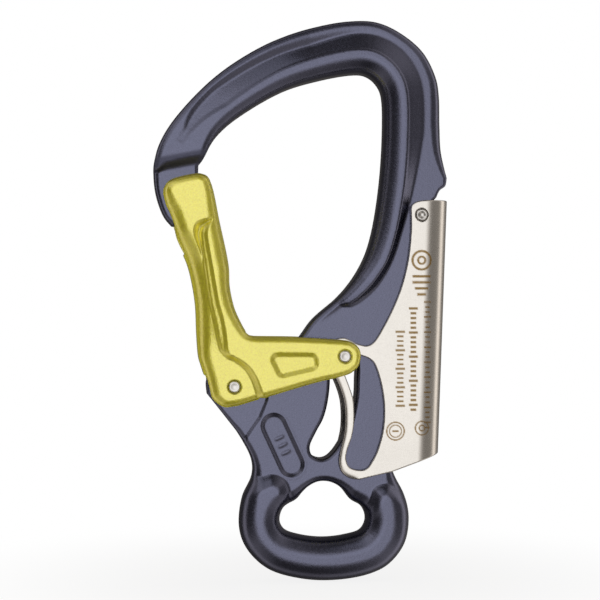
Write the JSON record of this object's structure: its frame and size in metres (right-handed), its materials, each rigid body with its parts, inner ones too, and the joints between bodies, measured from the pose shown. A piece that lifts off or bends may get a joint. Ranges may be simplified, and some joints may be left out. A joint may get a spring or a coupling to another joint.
{
  "type": "eye hook with latch",
  "caption": "Aluminium hook with a closed eye, an inward-opening gate and a palm-squeeze lever that locks the gate, for clipping a tether or rigging line to a rail or cable.",
  "frame": {"origin": "centre of the eye opening, midway through its thickness", "axes": "+Z from the eye up to the crown of the hook, +X from the nose side to the spine side, +Y from the front face to the back face"},
  "size_m": [0.0737, 0.0134, 0.1397],
  "materials": {
    "body_anodised": "fine blasted, dark blue-grey anodised",
    "gate_anodised": "fine blasted, yellow-green anodised",
    "lever_steel": "tumbled stainless sheet",
    "rivet_steel": "set rivet heads",
    "spring_steel": "drawn wire"
  },
  "bodies": {
    "frame": {"body": "body_anodised", "gate_pivot_rivet": "rivet_steel", "lever_pivot_rivet": "rivet_steel", "gate_spring": "spring_steel", "lever_spring": "spring_steel"},
    "gate": {"gate": "gate_anodised", "catch_rivet": "rivet_steel"},
    "lever": {"lever": "lever_steel"}
  },
  "joints": [
    {"name": "gate_swing", "type": "hinge", "parent": "frame", "child": "gate", "pos_m": [-0.02248, 0, 0.0311], "axis": [0, 1, 0], "range_deg": [0, 38], "stiffness_Nm_per_rad": 0.05, "springref_deg": -20.05, "deforming": ["gate_spring"]},
    {"name": "lever_squeeze", "type": "hinge", "parent": "frame", "child": "lever", "pos_m": [0.02428, 0, 0.07371], "axis": [0, 1, 0], "range_deg": [0, 8.1], "deforming": ["lever_spring"]}
  ],
  "couplings": [
    {"joint": "lever_squeeze", "follows": "gate_swing", "ratio": 0.21}
  ]
}
